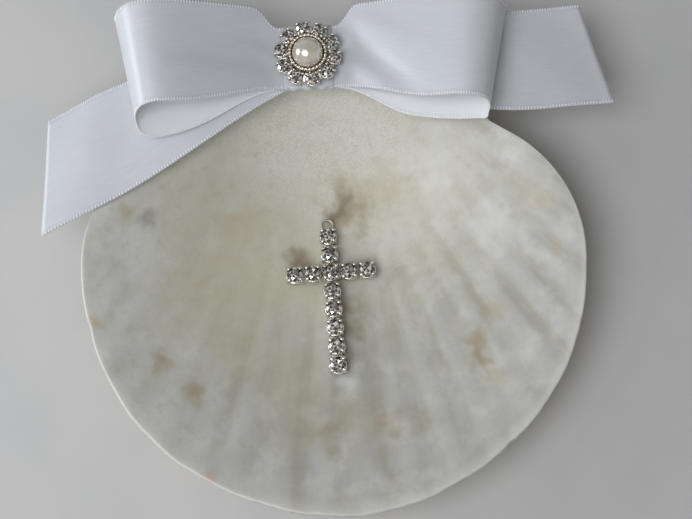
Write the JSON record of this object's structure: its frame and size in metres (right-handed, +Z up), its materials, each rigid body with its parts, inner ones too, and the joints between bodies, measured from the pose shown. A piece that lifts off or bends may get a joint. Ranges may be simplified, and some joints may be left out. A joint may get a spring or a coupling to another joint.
{
  "type": "baptismal shell",
  "caption": "Scallop shell bowl for pouring water at a baptism, with a stone-set cross glued inside and a satin ribbon bow with a pearl button over the hinge.",
  "frame": {"origin": "middle of the worn rib under the belly of the shell, where it rests on a table", "axes": "+X along the hinge to the right, seen with the bow at the far side; +Y from the pouring edge towards the hinge; +Z up out of the bowl"},
  "size_m": [0.1453, 0.1281, 0.0357],
  "materials": {
    "shell": "satin",
    "ribbon": "satin weave",
    "setting": "polished",
    "stone": "faceted",
    "pearl": "pearlescent",
    "glue": "clear, set hard"
  },
  "bodies": {
    "root": {"scallop_shell": "shell", "cross_setting": "setting", "button_setting": "setting", "button_pearl": "pearl", "bow_loops": "ribbon", "bow_tails": "ribbon", "bow_wrap": "ribbon", "cross_glue": "glue", "bow_glue": "glue", "button_glue": "glue", "cross_stone_01": "stone", "cross_stone_02": "stone", "cross_stone_03": "stone", "cross_stone_04": "stone", "cross_stone_05": "stone", "cross_stone_06": "stone", "cross_stone_07": "stone", "cross_stone_08": "stone", "cross_stone_09": "stone", "cross_stone_10": "stone", "cross_stone_11": "stone", "cross_stone_12": "stone", "button_stone_01": "stone", "button_stone_02": "stone", "button_stone_03": "stone", "button_stone_04": "stone", "button_stone_05": "stone", "button_stone_06": "stone", "button_stone_07": "stone", "button_stone_08": "stone", "button_stone_09": "stone", "button_stone_10": "stone"}
  },
  "joints": []
}
